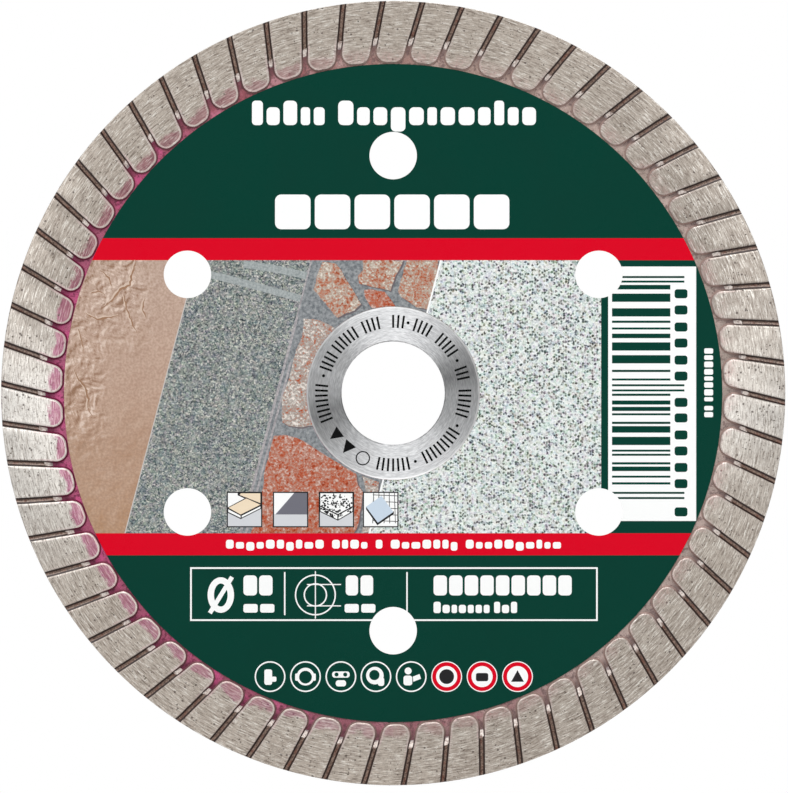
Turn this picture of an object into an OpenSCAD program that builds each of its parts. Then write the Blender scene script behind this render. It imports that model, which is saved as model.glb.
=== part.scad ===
// Diamond blade for tiles: a thin steel core, a sintered turbo rim with leaning grooves, and a printed label.
// The disc stands upright. Its spin axis is Y, its printed front faces -Y, and +Z is the top of the label.
// The origin is the middle of the bore, halfway through the core.

/* [Blade] */
// Diameter over the tips of the diamond crystals
blade_d = 76; // [74:0.5:90]
// Diameter of the bore
bore_d = 10; // [8:0.5:12]
// Size of the break on both edges of the bore
bore_break = 0.1; // [0.05:0.05:0.2]

/* [Core] */
// Thickness of the steel core
core_t = 1.1; // [0.9:0.05:1.2]
// Number of vent holes
vents = 6; // [3:1:8]
// Diameter of a vent hole
vent_d = 4.6; // [3:0.1:6]
// Diameter of the circle that the vent holes lie on
vent_circle_d = 46; // [38:0.5:48]
// Number of notches that key the core's edge into the rim
keys = 31; // [20:1:60]
// Radius of a key notch
key_r = 0.3; // [0.2:0.05:0.35]
// Diameter of the ground seats that the flanges clamp
seat_d = 16.8; // [14.6:0.1:20]
// Height of a seat above the rest of the core
seat_h = 0.02; // [0.01:0.01:0.05]

/* [Rim] */
// Thickness over the ground faces of the ribs
rim_t = 1.9; // [1.75:0.05:2.2]
// Thickness of the rim between two opposite groove floors
web_t = 1.4; // [1.3:0.05:1.6]
// Radial length of a rib
rib_len = 5.9; // [5.5:0.1:6.5]
// Radial length of a rib that lies on the bare core
rib_lap = 1.6; // [1.4:0.1:1.8]
// Radial width of the diamond-free foot layer
foot_w = 0.8; // [0.8:0.05:1]
// Height of the foot layer's inner lip above the core
foot_lip = 0.03; // [0.02:0.01:0.05]

/* [Grooves] */
// Number of grooves on each face
grooves = 62; // [50:1:64]
// Width of a groove
groove_w = 0.62; // [0.4:0.02:0.7]
// Distance of a groove's line from the blade's centre, which makes it lean
groove_offset = 8.1; // [4:0.1:10]
// Turn of the first groove on the front, clockwise from the top
groove_start = 5; // [0:0.1:7]
// Radius of the two corners at a rib's inner end
rib_corner = 1; // [0.7:0.05:1]

/* [Diamond crystals] */
// Height that a crystal stands out of the bond
crystal_h = 0.03; // [0.02:0.01:0.05]
// Width of a crystal across its corners
crystal_w = 0.32; // [0.2:0.02:0.4]
// Crystals on each rib
crystals_per_rib = 2; // [1:1:3]
// Crystals on the outer edge
edge_crystals = 124; // [60:1:180]

/* [Coats and label] */
// Thickness of the lacquer coats
lacquer_t = 0.02; // [0.01:0.01:0.03]
// Inner diameter of the lacquer band on the back
back_band_d = 56; // [54:0.5:60]
// Gap between the label and the ribs
label_gap = 0.2; // [0.1:0.05:0.5]
// Gap between the label and the front seat
label_inner_gap = 0.05; // [0.05:0.05:0.3]
// Thickness of the label's adhesive
adhesive_t = 0.02; // [0.01:0.01:0.04]
// Thickness of the label's film
film_t = 0.08; // [0.05:0.01:0.1]

/* [Hub marks] */
// Depth of the engraved marks, which ink fills level with the seat
mark_t = 0.01; // [0.01:0.01:0.02]
// Radius of the circle through the middle of the marks
mark_r = 6.95; // [6.8:0.05:7.1]
// Radial height of a tick
tick_h = 1.25; // [0.8:0.05:1.3]
// Width of a tick
tick_w = 0.2; // [0.15:0.01:0.3]
// Angle from one tick to the next
tick_step = 4; // [3.5:0.1:6]

/* [Hidden] */
$fn = 96;

// Radii, from the outside in
bond_r = blade_d / 2 - crystal_h;
rib_in = bond_r - rib_len;
foot_in = rib_in + rib_lap;
foot_out = foot_in + foot_w;
core_r = foot_in + foot_w / 2;
label_r = rib_in - label_gap;
seat_r = seat_d / 2;
vent_circle_r = vent_circle_d / 2;

// Heights above the middle plane of the core
core_top = core_t / 2;
seat_top = core_top + seat_h;
web_top = web_t / 2;
rib_top = rim_t / 2;
lacquer_top = core_top + lacquer_t;
adhesive_top = lacquer_top + adhesive_t;

// Turn from one groove to the next, and the first groove on the back, which lies behind the middle of a rib
groove_step = 360 / grooves;
back_start = groove_start + groove_step / 2;

// Extra length that lets a cutter pass a face cleanly
past = 1;
// Margin between a crystal and the edges of its rib's face
crystal_margin = 0.7;
// Seeds that scatter the crystals, one for each group
front_seed = 11;
back_seed = 23;
edge_seed = 37;

// Groups of ticks around the hub, each as [angle of its first tick, number of ticks], clockwise from the top
tick_groups = [[-52, 6], [-24, 4], [0, 3], [18, 4], [40, 5], [70, 3], [88, 6], [122, 9], [168, 7], [248, 8], [290, 4]];
// Angles of the dots between the groups, clockwise from the top
dot_angles = [12, 63, 117, 162, 284];
// Radius of a dot
dot_r = 0.15;
// Angles of the two solid triangles
triangle_angles = [220, 234];
// Half the side of a triangle
triangle_half = 0.62;
// Angle, outer radius and line width of the small ring
small_ring_angle = 205;
small_ring_r = 0.7;
small_ring_line = 0.12;

// Lays out a disc in the XY plane with its front up, and then stands it upright with its front facing -Y.
module upright() {
    rotate([90, 0, 0])
        children();
}

// Flat ring between two heights.
module washer(outer_r, inner_r, low, high) {
    translate([0, 0, low])
        difference() {
            cylinder(r = outer_r, h = high - low);
            translate([0, 0, -past])
                cylinder(r = inner_r, h = high - low + 2 * past);
        }
}

// The vent holes, as flat circles.
module vent_circles() {
    for (i = [0 : vents - 1])
        rotate(90 + i * 360 / vents)
            translate([vent_circle_r, 0])
                circle(d = vent_d);
}

// Distance from the blade's centre along a line that runs parallel to +Y at x, out to radius r.
function reach(r, x) = sqrt(r * r - x * x);

// Centre of the rounded corner on one side of a groove: side is 1 to the right and -1 to the left.
function corner_x(side) = -groove_offset + side * (groove_w / 2 + rib_corner);
function corner_centre(side) = [corner_x(side), reach(rib_in + rib_corner, corner_x(side))];

// Plan of one groove that runs along +Y: a straight slot that flares between the round ends of two ribs.
module groove_plan() {
    left = corner_centre(-1);
    right = corner_centre(1);
    inwards = (rib_in - past) / (rib_in + rib_corner);
    slot_left = -groove_offset - groove_w / 2;
    translate([slot_left, right[1] - rib_len / 2])
        square([groove_w, rib_len * 2]);
    difference() {
        polygon([
            [slot_left, left[1]],
            left,
            left * inwards,
            right * inwards,
            right,
            [slot_left + groove_w, right[1]]
        ]);
        translate(left)
            circle(r = rib_corner);
        translate(right)
            circle(r = rib_corner);
    }
}

// Plans of all the grooves on one face. Clockwise turns are negative.
module groove_plans(start) {
    for (i = [0 : grooves - 1])
        rotate(-(start + i * groove_step))
            groove_plan();
}

// Cutter for the grooves on the upper face: down to the web, and down to the core inside the foot layer.
module groove_cutter(start) {
    translate([0, 0, web_top])
        linear_extrude(rim_t)
            groove_plans(start);
    linear_extrude(rim_t)
        intersection() {
            groove_plans(start);
            circle(r = foot_out);
        }
}

// Section of the foot layer above and below the core, from radius start_r out.
module foot_section(start_r) {
    polygon([
        [start_r, -core_top],
        [foot_in, -core_top],
        [foot_in, -core_top - foot_lip],
        [foot_out, -web_top],
        [foot_out, web_top],
        [foot_in, core_top + foot_lip],
        [foot_in, core_top],
        [start_r, core_top]
    ]);
}

// Flat steel blank with vent holes and a notched edge.
module core_blank() {
    translate([0, 0, -core_top])
        linear_extrude(core_t)
            difference() {
                circle(r = core_r);
                vent_circles();
                for (i = [0 : keys - 1])
                    rotate(i * 360 / keys)
                        translate([core_r, 0])
                            circle(r = key_r);
            }
}

// The blank with a seat on each face, the bore with both its edges broken, and the engraved marks.
module steel_core() {
    color([0.72, 0.73, 0.74])
        upright()
            difference() {
                union() {
                    core_blank();
                    translate([0, 0, -seat_top])
                        cylinder(r = seat_r, h = 2 * seat_top);
                }
                translate([0, 0, -core_t])
                    cylinder(d = bore_d, h = 2 * core_t);
                for (side = [0, 1])
                    mirror([0, 0, side])
                        translate([0, 0, seat_top - bore_break])
                            cylinder(d1 = bore_d, d2 = bore_d + 4 * bore_break, h = 2 * bore_break);
                translate([0, 0, seat_top - mark_t])
                    linear_extrude(past)
                        mark_plans();
            }
}

// Diamond-free layer of bond that grips the core's edge and slopes up to the groove floors.
module foot_ring() {
    color([0.62, 0.58, 0.55])
        upright()
            difference() {
                rotate_extrude()
                    foot_section(foot_in);
                core_blank();
            }
}

// Sintered ring that holds the diamonds, with ribs and grooves pressed into both faces.
module bond_rim() {
    color([0.71, 0.67, 0.61])
        upright()
            difference() {
                washer(bond_r, rib_in, -rib_top, rib_top);
                rotate_extrude()
                    foot_section(rib_in - past);
                groove_cutter(groove_start);
                mirror([0, 0, 1])
                    groove_cutter(back_start);
            }
}

// One crystal tip: a low six-sided prism.
module crystal(height) {
    cylinder(d = crystal_w, h = height, $fn = 6);
}

// Crystal tips scattered over the ground faces of the ribs that start at one groove.
module rib_crystals(start, seed) {
    count = grooves * crystals_per_rib;
    first_r = foot_in;
    share = (bond_r - crystal_margin - first_r) / crystals_per_rib;
    radial = rands(0.15, 0.85, count, seed);
    sideways = rands(-crystal_margin, crystal_margin, count, seed + 1);
    turn = rands(0, 60, count, seed + 2);
    for (i = [0 : grooves - 1])
        for (j = [0 : crystals_per_rib - 1]) {
            n = i * crystals_per_rib + j;
            r = first_r + (j + radial[n]) * share;
            rotate(-(start + (i + 0.5) * groove_step))
                translate([-groove_offset + sideways[n], reach(r, groove_offset), rib_top])
                    rotate(turn[n])
                        crystal(crystal_h);
        }
}

module grit_front() {
    color([0.36, 0.34, 0.28])
        upright()
            rib_crystals(groove_start, front_seed);
}

module grit_back() {
    color([0.36, 0.34, 0.28])
        upright()
            mirror([0, 0, 1])
                rib_crystals(back_start, back_seed);
}

// Crystal tips around the outer edge, on the part of it that no groove cuts.
module grit_edge() {
    height = rands(-web_top + crystal_w, web_top - crystal_w, edge_crystals, edge_seed);
    color([0.36, 0.34, 0.28])
        upright()
            intersection() {
                washer(blade_d / 2, bond_r, -rib_top, rib_top);
                for (i = [0 : edge_crystals - 1])
                    rotate(i * 360 / edge_crystals)
                        translate([bond_r - past, 0, height[i]])
                            rotate([0, 90, 0])
                                crystal(2 * past);
            }
}

// Plan of the core's face that the ribs leave open on one side, from inner_r out to the foot layer.
module open_face(inner_r, start) {
    difference() {
        union() {
            circle(r = rib_in);
            intersection() {
                groove_plans(start);
                circle(r = foot_in);
            }
        }
        circle(r = inner_r);
        vent_circles();
    }
}

// Lacquer on the front of the core, between the seat and the rim.
module lacquer_front() {
    color([0.62, 0.2, 0.35])
        upright()
            translate([0, 0, core_top])
                linear_extrude(lacquer_t)
                    open_face(seat_r, groove_start);
}

// Lacquer band along the rim on the back of the core.
module lacquer_back() {
    color([0.62, 0.2, 0.35])
        upright()
            mirror([0, 0, 1])
                translate([0, 0, core_top])
                    linear_extrude(lacquer_t)
                        open_face(back_band_d / 2, back_start);
}

// Plan of the label: a ring with a hole over each vent.
module label_plan() {
    difference() {
        circle(r = label_r);
        circle(r = seat_r + label_inner_gap);
        vent_circles();
    }
}

module label_adhesive() {
    color([0.9, 0.88, 0.8])
        upright()
            translate([0, 0, lacquer_top])
                linear_extrude(adhesive_t)
                    label_plan();
}

module label_film() {
    color([0.05, 0.26, 0.21])
        upright()
            translate([0, 0, adhesive_top])
                linear_extrude(film_t)
                    label_plan();
}

// Plain marks on the front seat: ticks, dots, two triangles and a small ring.
module mark_plans() {
    for (group = tick_groups)
        for (i = [0 : group[1] - 1])
            rotate(-(group[0] + i * tick_step))
                translate([-tick_w / 2, mark_r - tick_h / 2])
                    square([tick_w, tick_h]);
    for (angle = dot_angles)
        rotate(-angle)
            translate([0, mark_r])
                circle(r = dot_r);
    for (angle = triangle_angles)
        rotate(-angle)
            translate([0, mark_r])
                polygon([
                    [-triangle_half, -triangle_half],
                    [triangle_half, -triangle_half],
                    [0, triangle_half]
                ]);
    rotate(-small_ring_angle)
        translate([0, mark_r])
            difference() {
                circle(r = small_ring_r);
                circle(r = small_ring_r - small_ring_line);
            }
}

// Ink that fills the engraved marks.
module hub_marks() {
    color([0.05, 0.05, 0.05])
        upright()
            translate([0, 0, seat_top - mark_t])
                linear_extrude(mark_t)
                    mark_plans();
}

steel_core();
foot_ring();
bond_rim();
grit_front();
grit_back();
grit_edge();
lacquer_front();
lacquer_back();
label_adhesive();
label_film();
hub_marks();
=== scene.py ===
"""Visual model of a 76 mm diamond blade with a turbo rim and a printed label, built around its CAD frame.

The blade stands upright: its axis is Y, its printed front faces -Y and +Z is the top of the label.
Plans are laid out in millimetres as (x, y), x to the right and y up as seen from the front.
"""
import math
import random

import bmesh
import bpy
from mathutils import Matrix, Vector, geometry, noise


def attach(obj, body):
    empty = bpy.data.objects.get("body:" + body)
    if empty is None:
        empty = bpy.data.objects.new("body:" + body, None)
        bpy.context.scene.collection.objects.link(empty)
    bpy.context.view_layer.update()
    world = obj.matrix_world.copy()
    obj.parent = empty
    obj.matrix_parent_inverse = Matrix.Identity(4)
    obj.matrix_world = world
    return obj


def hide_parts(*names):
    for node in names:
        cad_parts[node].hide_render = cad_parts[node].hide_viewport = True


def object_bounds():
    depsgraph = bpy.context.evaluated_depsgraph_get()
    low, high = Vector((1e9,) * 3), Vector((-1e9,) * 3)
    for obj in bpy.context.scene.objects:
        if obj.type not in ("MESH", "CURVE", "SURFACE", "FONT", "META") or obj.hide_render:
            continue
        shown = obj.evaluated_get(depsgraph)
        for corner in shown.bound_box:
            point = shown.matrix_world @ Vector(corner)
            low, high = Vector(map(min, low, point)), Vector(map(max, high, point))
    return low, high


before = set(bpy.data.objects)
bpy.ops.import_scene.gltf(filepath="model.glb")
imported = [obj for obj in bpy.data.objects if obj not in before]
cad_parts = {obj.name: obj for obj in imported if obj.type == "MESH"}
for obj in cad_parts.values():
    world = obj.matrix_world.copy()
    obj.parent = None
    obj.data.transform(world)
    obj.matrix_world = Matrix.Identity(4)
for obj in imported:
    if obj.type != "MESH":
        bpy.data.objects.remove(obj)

cad_low, cad_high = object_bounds()
MM = 0.001
# Without a seed of its own, noise_vector gives other values in each run
noise.seed_set(1)

# Radii and heights of the CAD model, in millimetres
BOND_R = 37.97
RIB_IN = 32.07
FOOT_IN = 33.67
FOOT_OUT = 34.47
LABEL_R = 31.87
SEAT_R = 8.4
HUB_GAP = 0.01
VENT_R = 2.3
VENT_CIRCLE_R = 23.0
WEB_TOP = 0.7
RIB_TOP = 0.95
FILM_LOW = 0.59
FILM_TOP = 0.67
INK_T = 0.015
INK_OVERLAP = 0.003
GROOVES = 62
STEP = math.radians(360 / GROOVES)
GROOVE_W = 0.62
GROOVE_X = 8.1
RIB_CORNER = 1.0
FRONT_START = math.radians(5)
BACK_START = FRONT_START + STEP / 2


def linear(colour):
    """Linear colour of three 8-bit sRGB values. A linear one, with its alpha, stays as it is."""
    def channel(c):
        c /= 255
        return c / 12.92 if c <= 0.04045 else ((c + 0.055) / 1.055) ** 2.4
    return colour if len(colour) == 4 else (*map(channel, colour), 1.0)


def grey(level):
    return (level, level, level, 1.0)


# ---------------------------------------------------------------- camera, light and floor

def make_camera():
    data = bpy.data.cameras.new("camera")
    data.type = "ORTHO"
    data.ortho_scale = 0.076786
    data.clip_start = 0.01
    camera = bpy.data.objects.new("camera", data)
    camera.location = (0.000081, -0.5, -0.000327)
    camera.rotation_euler = (math.radians(90), 0, 0)
    bpy.context.scene.collection.objects.link(camera)
    bpy.context.scene.camera = camera


def make_light(name, place, size, power, colour=(1, 1, 1)):
    data = bpy.data.lights.new(name, "AREA")
    data.shape = "RECTANGLE"
    data.size, data.size_y = size
    data.energy = power
    data.color = colour
    light = bpy.data.objects.new(name, data)
    light.location = place
    light.rotation_euler = (-Vector(place)).to_track_quat("-Z", "Y").to_euler()
    bpy.context.scene.collection.objects.link(light)


def make_world():
    world = bpy.data.worlds.new("studio")
    bpy.context.scene.world = world
    world.use_nodes = True
    tree = world.node_tree
    out = tree.nodes["World Output"]
    room = tree.nodes["Background"]
    room.inputs["Color"].default_value = (1.0, 1.0, 1.0, 1.0)
    room.inputs["Strength"].default_value = 0.25
    backdrop = tree.nodes.new("ShaderNodeBackground")
    backdrop.inputs["Color"].default_value = (1.0, 1.0, 1.0, 1.0)
    path = tree.nodes.new("ShaderNodeLightPath")
    pick = tree.nodes.new("ShaderNodeMixShader")
    tree.links.new(path.outputs["Is Camera Ray"], pick.inputs[0])
    tree.links.new(room.outputs[0], pick.inputs[1])
    tree.links.new(backdrop.outputs[0], pick.inputs[2])
    tree.links.new(pick.outputs[0], out.inputs["Surface"])


# ---------------------------------------------------------------- materials

class Shader:
    """One procedural material, made node by node around a Principled shader."""

    def __init__(self, name):
        self.material = bpy.data.materials.new(name)
        self.material.use_nodes = True
        self.tree = self.material.node_tree
        self.bsdf = self.tree.nodes["Principled BSDF"]
        coordinates = self.node("ShaderNodeTexCoord")
        self.place = coordinates.outputs["Object"]
        self.facing = coordinates.outputs["Normal"]
        scaled = self.node("ShaderNodeVectorMath", {0: self.place, "Scale": 1 / MM}, operation="SCALE")
        self.mm = scaled.outputs[0]
        self.x, self.y, self.z = self.parts(self.mm)

    def node(self, kind, inputs=(), **properties):
        """New node with its properties, and with its inputs given by name or by number."""
        made = self.tree.nodes.new(kind)
        for key, value in properties.items():
            setattr(made, key, value)
        for key, value in dict(inputs).items():
            self.put(made.inputs[key], value)
        return made

    def put(self, socket, value):
        if isinstance(value, bpy.types.NodeSocket):
            self.tree.links.new(value, socket)
        else:
            socket.default_value = linear(value) if socket.type == "RGBA" else value

    def parts(self, vector):
        return self.node("ShaderNodeSeparateXYZ", {0: vector}).outputs

    def moved(self, vector, shift):
        return self.node("ShaderNodeVectorMath", {0: vector, 1: shift}, operation="ADD").outputs[0]

    def math(self, operation, *values):
        return self.node("ShaderNodeMath", enumerate(values), operation=operation).outputs[0]

    def times(self, *values):
        out = values[0]
        for value in values[1:]:
            out = self.math("MULTIPLY", out, value)
        return out

    def weighted(self, *pairs):
        """Sum of values, each with its weight."""
        total = 0.0
        for value, weight in reversed(pairs):
            total = self.math("MULTIPLY_ADD", value, weight, total)
        return total

    def stirred(self, value, noise_value, amount):
        """Value moved up and down by a noise."""
        return self.math("MULTIPLY_ADD", self.math("SUBTRACT", noise_value, 0.5), amount, value)

    def mix(self, factor, a, b, blend="MIX"):
        made = self.node("ShaderNodeMix", {0: factor, 6: a, 7: b}, data_type="RGBA", blend_type=blend)
        return made.outputs[2]

    def noise(self, vector, scale, detail=2.0, rough=0.5, bend=0.0):
        inputs = {"Vector": vector, "Scale": scale, "Detail": detail, "Roughness": rough, "Distortion": bend}
        return self.node("ShaderNodeTexNoise", inputs).outputs[0]

    def cells(self, vector, scale):
        """Distance from a cell's centre, and a random number for each cell."""
        made = self.node("ShaderNodeTexVoronoi", {"Vector": vector, "Scale": scale})
        number = self.node("ShaderNodeSeparateColor", {0: made.outputs["Color"]})
        return made.outputs["Distance"], number.outputs[0]

    def pits(self, vector, scale, far, near, limit):
        """Small spots in the cells whose number is above the limit."""
        distance, number = self.cells(vector, scale)
        return self.times(self.span(distance, far, near), self.math("GREATER_THAN", number, limit))

    def ramp(self, value, *stops):
        made = self.node("ShaderNodeValToRGB", {0: value})
        elements = made.color_ramp.elements
        while len(elements) < len(stops):
            elements.new(0.5)
        for element, (place, colour) in zip(elements, stops):
            element.position = place
            element.color = linear(colour)
        return made.outputs[0]

    def levels(self, value, *stops):
        """Ramp of grey levels."""
        return self.ramp(value, *((place, grey(level)) for place, level in stops))

    def span(self, value, low, high, to_low=0.0, to_high=1.0, smooth=False):
        """Value from low..high to to_low..to_high, held at both ends."""
        inputs = {"Value": value, "From Min": low, "From Max": high, "To Min": to_low, "To Max": to_high}
        kind = "SMOOTHSTEP" if smooth else "LINEAR"
        return self.node("ShaderNodeMapRange", inputs, interpolation_type=kind).outputs[0]

    def radius(self):
        return self.math("SQRT", self.weighted((self.x, self.x), (self.z, self.z)))

    def turn(self):
        """Turn clockwise as seen from the front, from 0 at the bottom through 0.5 at the top to 1."""
        return self.math("MULTIPLY_ADD", self.math("ARCTAN2", self.x, self.z), 1 / math.tau, 0.5)

    def ring(self, radius, along, across):
        """Seamless coordinates for marks around the axis. Larger numbers make them shorter and thinner."""
        return self.node("ShaderNodeCombineXYZ", {
            0: self.times(self.math("DIVIDE", self.x, radius), along),
            1: self.weighted((radius, across), (self.y, across)),
            2: self.times(self.math("DIVIDE", self.z, radius), along)}).outputs[0]

    def bump(self, height, distance, strength=1.0, below=None):
        inputs = {"Height": height, "Distance": distance * MM, "Strength": strength}
        if below is not None:
            inputs["Normal"] = below
        return self.node("ShaderNodeBump", inputs).outputs[0]

    def lay(self, colour, factor, blend="MIX"):
        """Lays a colour over the material's colour so far."""
        self.colour = self.mix(factor, self.colour, colour, blend)

    def cover(self, colour, value, low, high, most=1.0):
        """Lays a colour on as a value goes from low to high."""
        self.lay(colour, self.span(value, low, high, 0, most))

    def tint(self, scale, amount):
        """Cells of faint random hues over the colour."""
        made = self.node("ShaderNodeTexVoronoi", {"Vector": self.mm, "Scale": scale})
        self.lay(made.outputs["Color"], amount, "SOFT_LIGHT")

    def brushed(self, amount, rotation):
        """Stretched highlights of marks that run around (rotation 0.25) or along (0) the radius."""
        tangent = self.node("ShaderNodeTangent", direction_type="RADIAL", axis="Y").outputs[0]
        return {"anisotropic": amount, "rotation": rotation, "tangent": tangent}

    def done(self, **values):
        """The material with its colour and the given values."""
        names = {
            "metal": "Metallic", "rough": "Roughness", "specular": "Specular IOR Level", "normal": "Normal",
            "anisotropic": "Anisotropic", "rotation": "Anisotropic Rotation", "tangent": "Tangent",
            "alpha": "Alpha",
        }
        self.put(self.bsdf.inputs["Base Color"], self.colour)
        for key, value in values.items():
            self.put(self.bsdf.inputs[names[key]], value)
        return self.material


def steel_material():
    s = Shader("ground_steel")
    r = s.radius()
    fine = s.noise(s.ring(r, 10, 11), 1.0, 3, 0.65)
    coarse = s.noise(s.ring(r, 4.5, 5.5), 1.0)
    stain = s.noise(s.mm, 0.35, 4, 0.6)
    s.colour = s.mix(s.span(fine, 0.36, 0.64), (200, 201, 203), (244, 245, 246))
    s.cover((190, 191, 194), coarse, 0.45, 0.7, 0.22)
    s.cover((190, 188, 186), stain, 0.5, 0.8, 0.25)
    # Painted highlight and shade of the circular grinding: lighter sectors at the top and bottom, darker
    # sectors at the sides
    painted_light_sectors = s.levels(
        s.stirred(s.turn(), coarse, 0.02),
        (0.0, 0.77), (0.08, 0.89), (0.125, 0.86), (0.17, 0.58), (0.21, 0.47), (0.25, 0.77), (0.30, 0.86),
        (0.335, 0.75), (0.415, 0.87), (0.48, 0.76), (0.575, 1.0), (0.625, 1.0), (0.67, 0.58), (0.71, 0.44),
        (0.75, 0.71), (0.83, 0.79), (0.875, 1.0), (0.96, 0.76), (1.0, 0.77))
    s.lay(painted_light_sectors, 1.0, "MULTIPLY")
    # Painted highlight: a bright line on the steel beside the label's edge
    s.lay((252, 252, 252), s.times(s.span(r, 8.2, 8.28), s.span(r, 8.5, 8.42), 0.6))
    return s.done(metal=1.0, rough=s.math("MULTIPLY_ADD", fine, 0.14, s.span(coarse, 0.3, 0.8, 0.34, 0.44)),
                  normal=s.bump(fine, 0.006, 0.5, s.bump(coarse, 0.006, 0.2)), **s.brushed(0.6, 0.25))


def foot_material():
    """Diamond-free bond: pearly on its slope, with painted shade towards both its ends."""
    s = Shader("foot_bond")
    grain = s.noise(s.mm, 5.0, 3, 0.65)
    end_shade_radius = s.stirred(s.radius(), s.noise(s.mm, 1.7), 1.1)
    s.colour = s.mix(s.span(grain, 0.35, 0.65), (180, 162, 154), (250, 240, 232))
    # Painted shade towards both ends of the foot layer
    s.cover((118, 90, 80), end_shade_radius, 34.28, 34.46, 0.85)
    s.cover((112, 96, 102), end_shade_radius, 33.82, 33.66, 0.75)
    return s.done(metal=0.35, rough=s.span(grain, 0.3, 0.7, 0.5, 0.3), normal=s.bump(grain, 0.02, 0.6))


def bond_material():
    """Sintered bond: ground on the ribs with painted highlights and shade around the ring, darker in the
    grooves with painted shade on their walls, smeared with lacquer on the left.
    """
    s = Shader("diamond_bond")
    r = s.radius()
    turn = s.turn()
    height = s.math("ABSOLUTE", s.y)
    outline = s.node("ShaderNodeAttribute", attribute_name="outline").outputs["Fac"]
    cloud = s.noise(s.mm, 0.8, 4, 0.6)
    grain = s.noise(s.mm, 7.0, 3, 0.7)
    scratch = s.noise(s.ring(r, 36, 9.0), 1.0, 3, 0.7)
    streak = s.noise(s.ring(r, 16, 3.4), 1.0, 3, 0.6)
    s.colour = s.mix(s.span(cloud, 0.3, 0.7), (186, 174, 162), (202, 191, 179))
    # Painted highlight on the left and right, and painted shade on both sides of that
    painted_sheen = s.levels(
        turn, (0.16, 0.0), (0.205, 0.8), (0.25, 1.0), (0.285, 0.1), (0.31, 0.0), (0.70, 0.0), (0.73, 0.3),
        (0.76, 0.8), (0.785, 0.25), (0.82, 0.0))
    s.lay((232, 234, 232), s.times(painted_sheen, 0.5))
    shade = s.levels(
        turn, (0.26, 1.0), (0.285, 0.80), (0.31, 0.88), (0.36, 0.97), (0.57, 1.0), (0.625, 0.88),
        (0.667, 0.73), (0.71, 0.72), (0.745, 1.0), (0.80, 0.96), (0.84, 0.89), (0.95, 0.89), (1.0, 0.98))
    s.lay(shade, 1.0, "MULTIPLY")
    s.cover((122, 110, 100), scratch, 0.48, 0.34, 0.95)
    s.cover((244, 240, 232), scratch, 0.54, 0.66, 0.9)
    s.cover((220, 210, 198), streak, 0.52, 0.7, 0.2)
    s.cover((128, 116, 106), grain, 0.53, 0.68, 0.55)
    # Pits in small cells, and pale flecks
    fine_pit = s.pits(s.mm, 4.4, 0.34, 0.18, 0.94)
    pit = s.math("MAXIMUM", s.pits(s.ring(r, 78, 2.6), 1.0, 0.34, 0.12, 0.87), fine_pit)
    s.lay((74, 62, 56), s.times(pit, 0.85))
    s.lay((244, 240, 234), s.times(s.pits(s.mm, 3.1, 0.22, 0.08, 0.8), 0.6))
    # Lacquer that ran onto the inner ends of the ribs, mostly on the left, and was partly ground off again
    left = s.levels(
        turn, (0.0, 0.35), (0.06, 0.6), (0.14, 0.85), (0.20, 1), (0.30, 1), (0.38, 0.8), (0.44, 0.62),
        (0.49, 0.0), (0.86, 0.0), (1.0, 0.3))
    pool = s.noise(s.mm, 0.55)
    edge = s.math("ADD", s.span(r, 32.2, 34.3, 0.62, -0.25), s.times(pool, 0.75))
    edge = s.stirred(s.stirred(edge, streak, 0.3), grain, 0.25)
    smear = s.times(s.span(edge, 0.57, 0.68), left, s.span(outline, 0.5, 0.1),
                    s.span(scratch, 0.66, 0.5, 0.5, 1))
    upper = s.span(turn, 0.27, 0.31)
    low_tone = s.mix(upper, (140, 56, 94), (116, 54, 72))
    high_tone = s.mix(upper, (204, 124, 162), (166, 96, 112))
    mottle = s.span(s.weighted((grain, 0.4), (scratch, 0.6)), 0.42, 0.62)
    s.lay(s.mix(mottle, low_tone, high_tone), s.times(smear, 0.9))
    blush = s.times(s.span(r, 33.6, 32.5), s.span(pool, 0.42, 0.56), s.span(grain, 0.35, 0.6, 0.5, 0.05))
    s.lay((190, 138, 138), blush)
    # Painted highlight along the outline of each rib, strongest around its inner end
    edge_highlight = s.times(outline, s.span(grain, 0.3, 0.7, 0.8, 0.35), s.span(r, 34.2, 35.4, 1, 0.15),
                   s.span(left, 0, 0.5, 0.35, 1))
    s.lay(s.mix(s.span(cloud, 0.42, 0.58), (230, 218, 212), (224, 190, 192)), edge_highlight)
    face = s.colour
    # Grooves: painted shade on the dark walls, and a floor with rusty patches
    rust = s.noise(s.mm, 1.6, 3, 0.6)
    floor = s.mix(s.span(grain, 0.35, 0.65), (70, 52, 44), (158, 134, 120))
    floor = s.mix(s.span(rust, 0.5, 0.64, 0, 0.6), floor, (116, 66, 50))
    # Painted shade: the walls are dark, tinted magenta near the lacquer on the left and lighter near the
    # inner ends on the right
    side = s.mix(grain, (22, 12, 10), (66, 46, 40))
    side = s.mix(s.times(s.span(r, 34.4, 33.4), left), side, (112, 14, 58))
    side = s.mix(s.times(s.span(r, 34.0, 33.2), s.math("SUBTRACT", 1.0, left)), side, (172, 146, 138))
    s.cover(side, height, 0.90, 0.865)
    s.lay(floor, s.times(s.span(height, 0.715, 0.698), s.span(r, 34.3, 34.45)))
    # Cutting edge: ground like the ribs, a little darker
    edge_on = s.span(s.math("ABSOLUTE", s.parts(s.facing)[1]), 0.6, 0.3)
    ground = s.mix(s.span(scratch, 0.4, 0.6), s.mix(0.35, face, (92, 76, 66)), face)
    s.lay(ground, s.times(edge_on, s.span(r, 37.6, 37.8)))
    low = s.bump(s.math("SUBTRACT", cloud, s.times(pit, 0.9)), 0.03, 0.6)
    return s.done(metal=s.times(s.span(height, 0.76, 0.90, 0.1, 0.24), s.span(smear, 0, 1, 1, 0.5)),
                  rough=s.math("ADD", s.span(scratch, 0.3, 0.7, 0.42, 0.32), s.times(pit, 0.2)),
                  normal=s.bump(scratch, 0.012, 0.5, low), **s.brushed(0.95, 0.0))


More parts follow.
